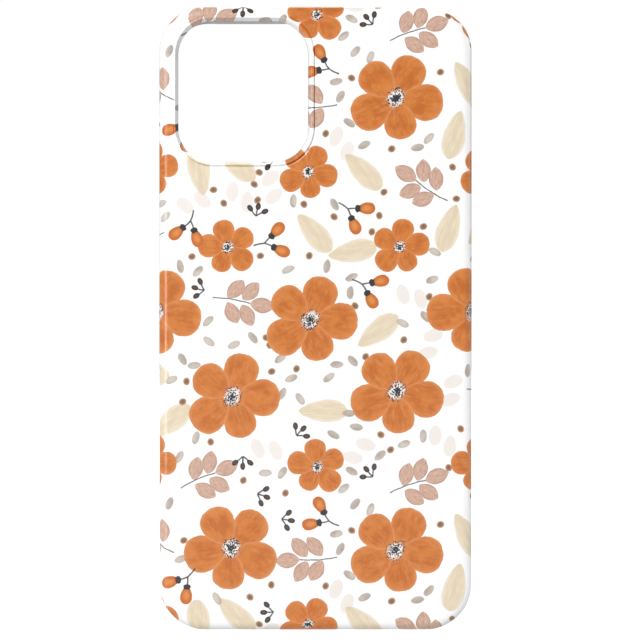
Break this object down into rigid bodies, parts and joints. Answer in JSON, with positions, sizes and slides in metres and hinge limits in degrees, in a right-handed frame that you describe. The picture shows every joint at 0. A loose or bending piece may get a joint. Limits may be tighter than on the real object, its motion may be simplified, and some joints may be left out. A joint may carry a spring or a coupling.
{
  "type": "phone case",
  "caption": "Two-layer protective phone case: floral printed hard shell over a soft liner, with a camera opening, button covers and bottom windows.",
  "frame": {"origin": "middle of the seat inside the case that the phone's back rests on", "axes": "+Z towards the phone's top, -Y out through the printed back, +Y out of the open front, +X towards the volume buttons"},
  "size_m": [0.0832, 0.0118, 0.166],
  "materials": {
    "printed_shell": "satin-gloss white polycarbonate with a printed floral pattern",
    "liner": "frosted white soft moulded elastomer",
    "microfibre": "short-pile pale grey lining cloth",
    "button_caps": "white satin plastic"
  },
  "bodies": {
    "liner_tray": {"liner": "liner", "microfibre_pad": "microfibre"},
    "outer_shell": {"printed_shell": "printed_shell"},
    "volume_up": {"volume_up_button": "button_caps"},
    "volume_down": {"volume_down_button": "button_caps"},
    "side_key": {"side_button": "button_caps"}
  },
  "joints": [
    {"name": "shell_pull_off", "type": "slide", "parent": "liner_tray", "child": "outer_shell", "axis": [0, -1, 0], "range_m": [0, 0.014]},
    {"name": "volume_up_press", "type": "slide", "parent": "liner_tray", "child": "volume_up", "axis": [-1, 0, 0], "range_m": [0, 0.0004], "stiffness_N_per_m": 600},
    {"name": "volume_down_press", "type": "slide", "parent": "liner_tray", "child": "volume_down", "axis": [-1, 0, 0], "range_m": [0, 0.0004], "stiffness_N_per_m": 600},
    {"name": "side_press", "type": "slide", "parent": "liner_tray", "child": "side_key", "axis": [1, 0, 0], "range_m": [0, 0.0004], "stiffness_N_per_m": 600}
  ]
}
